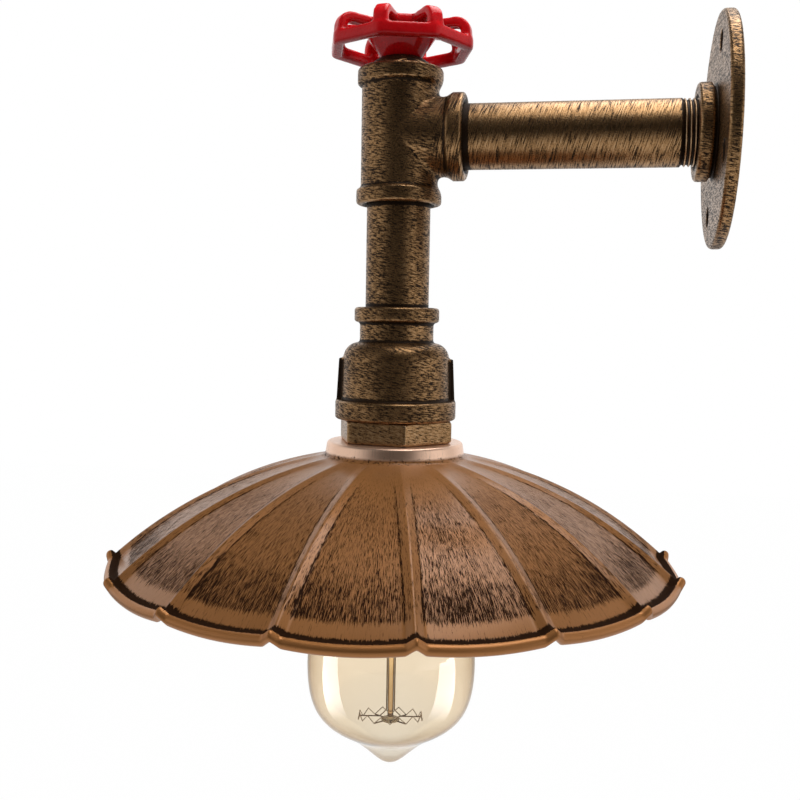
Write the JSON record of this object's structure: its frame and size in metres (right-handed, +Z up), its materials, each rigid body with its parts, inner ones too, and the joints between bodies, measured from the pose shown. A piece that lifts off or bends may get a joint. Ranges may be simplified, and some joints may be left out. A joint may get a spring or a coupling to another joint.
{
  "type": "pipe wall light",
  "caption": "Wall light of pipe fittings: a flange and arm carry a tee with a red hand wheel, and a drop with a reducer, hex bush, ribbed umbrella shade and screw-in teardrop bulb.",
  "frame": {"origin": "centre of the flange's back face, on the wall", "axes": "+Y into the wall, so the arm runs to -Y; +Z up; +X to the right of someone who faces the wall"},
  "size_m": [0.2424, 0.2532, 0.3183],
  "materials": {
    "fittings": "antique bronze paint, brushed back to gold-brown on the high spots",
    "dark_fittings": "dark bronze paint",
    "red_enamel": "glossy red enamel",
    "zinc_steel": "zinc-plated steel",
    "brass": "plain brass",
    "porcelain": "white porcelain",
    "shade_copper": "aged copper paint with black streaks",
    "amber_glass": "clear amber glass",
    "stem_glass": "amber-tinted stem glass",
    "cap_glass": "black glass",
    "filament": "carbon filament",
    "grommet_rubber": "black rubber",
    "live_insulation": "brown insulation",
    "neutral_insulation": "blue insulation",
    "earth_insulation": "green and yellow insulation",
    "splice_nylon": "nylon sleeve"
  },
  "bodies": {
    "fixture": {"wall_flange": "fittings", "arm_pipe": "fittings", "tee": "fittings", "tee_plug": "dark_fittings", "drop_pipe": "fittings", "reducer": "fittings", "hex_bush": "fittings", "holder_cap": "zinc_steel", "wire_grommet": "grommet_rubber", "holder_shell": "brass", "holder_insulator": "porcelain", "screw_shell": "brass", "centre_contact": "brass", "terminal_screws": "zinc_steel", "shade": "shade_copper", "shade_ring": "dark_fittings", "live_wire": "live_insulation", "neutral_wire": "neutral_insulation", "earth_wire": "earth_insulation", "earth_screw": "brass", "wire_splices": "splice_nylon"},
    "wheel": {"hand_wheel": "red_enamel", "wheel_spindle": "zinc_steel", "spindle_clip": "zinc_steel", "wheel_washer": "zinc_steel", "wheel_nut": "zinc_steel"},
    "bulb_lift": {"bulb_contact": "zinc_steel"},
    "bulb": {"bulb_glass": "amber_glass", "bulb_screw_cap": "brass", "bulb_cap_glass": "cap_glass", "bulb_stem": "stem_glass", "filament_supports": "zinc_steel", "bulb_leads": "zinc_steel", "bulb_filament": "filament"}
  },
  "joints": [
    {"name": "wheel_turn", "type": "hinge", "parent": "fixture", "child": "wheel", "pos_m": [0, -0.132, 0], "axis": [0, 0, 1], "continuous": true},
    {"name": "bulb_lift", "type": "slide", "parent": "fixture", "child": "bulb_lift", "axis": [0, 0, -1], "range_m": [0, 0.01099]},
    {"name": "bulb_turn", "type": "hinge", "parent": "bulb_lift", "child": "bulb", "pos_m": [0, -0.132, 0], "axis": [0, 0, -1], "range_deg": [0, 1080]}
  ],
  "couplings": [
    {"joint": "bulb_lift", "follows": "bulb_turn", "m_per_rad": 0.0005775}
  ]
}
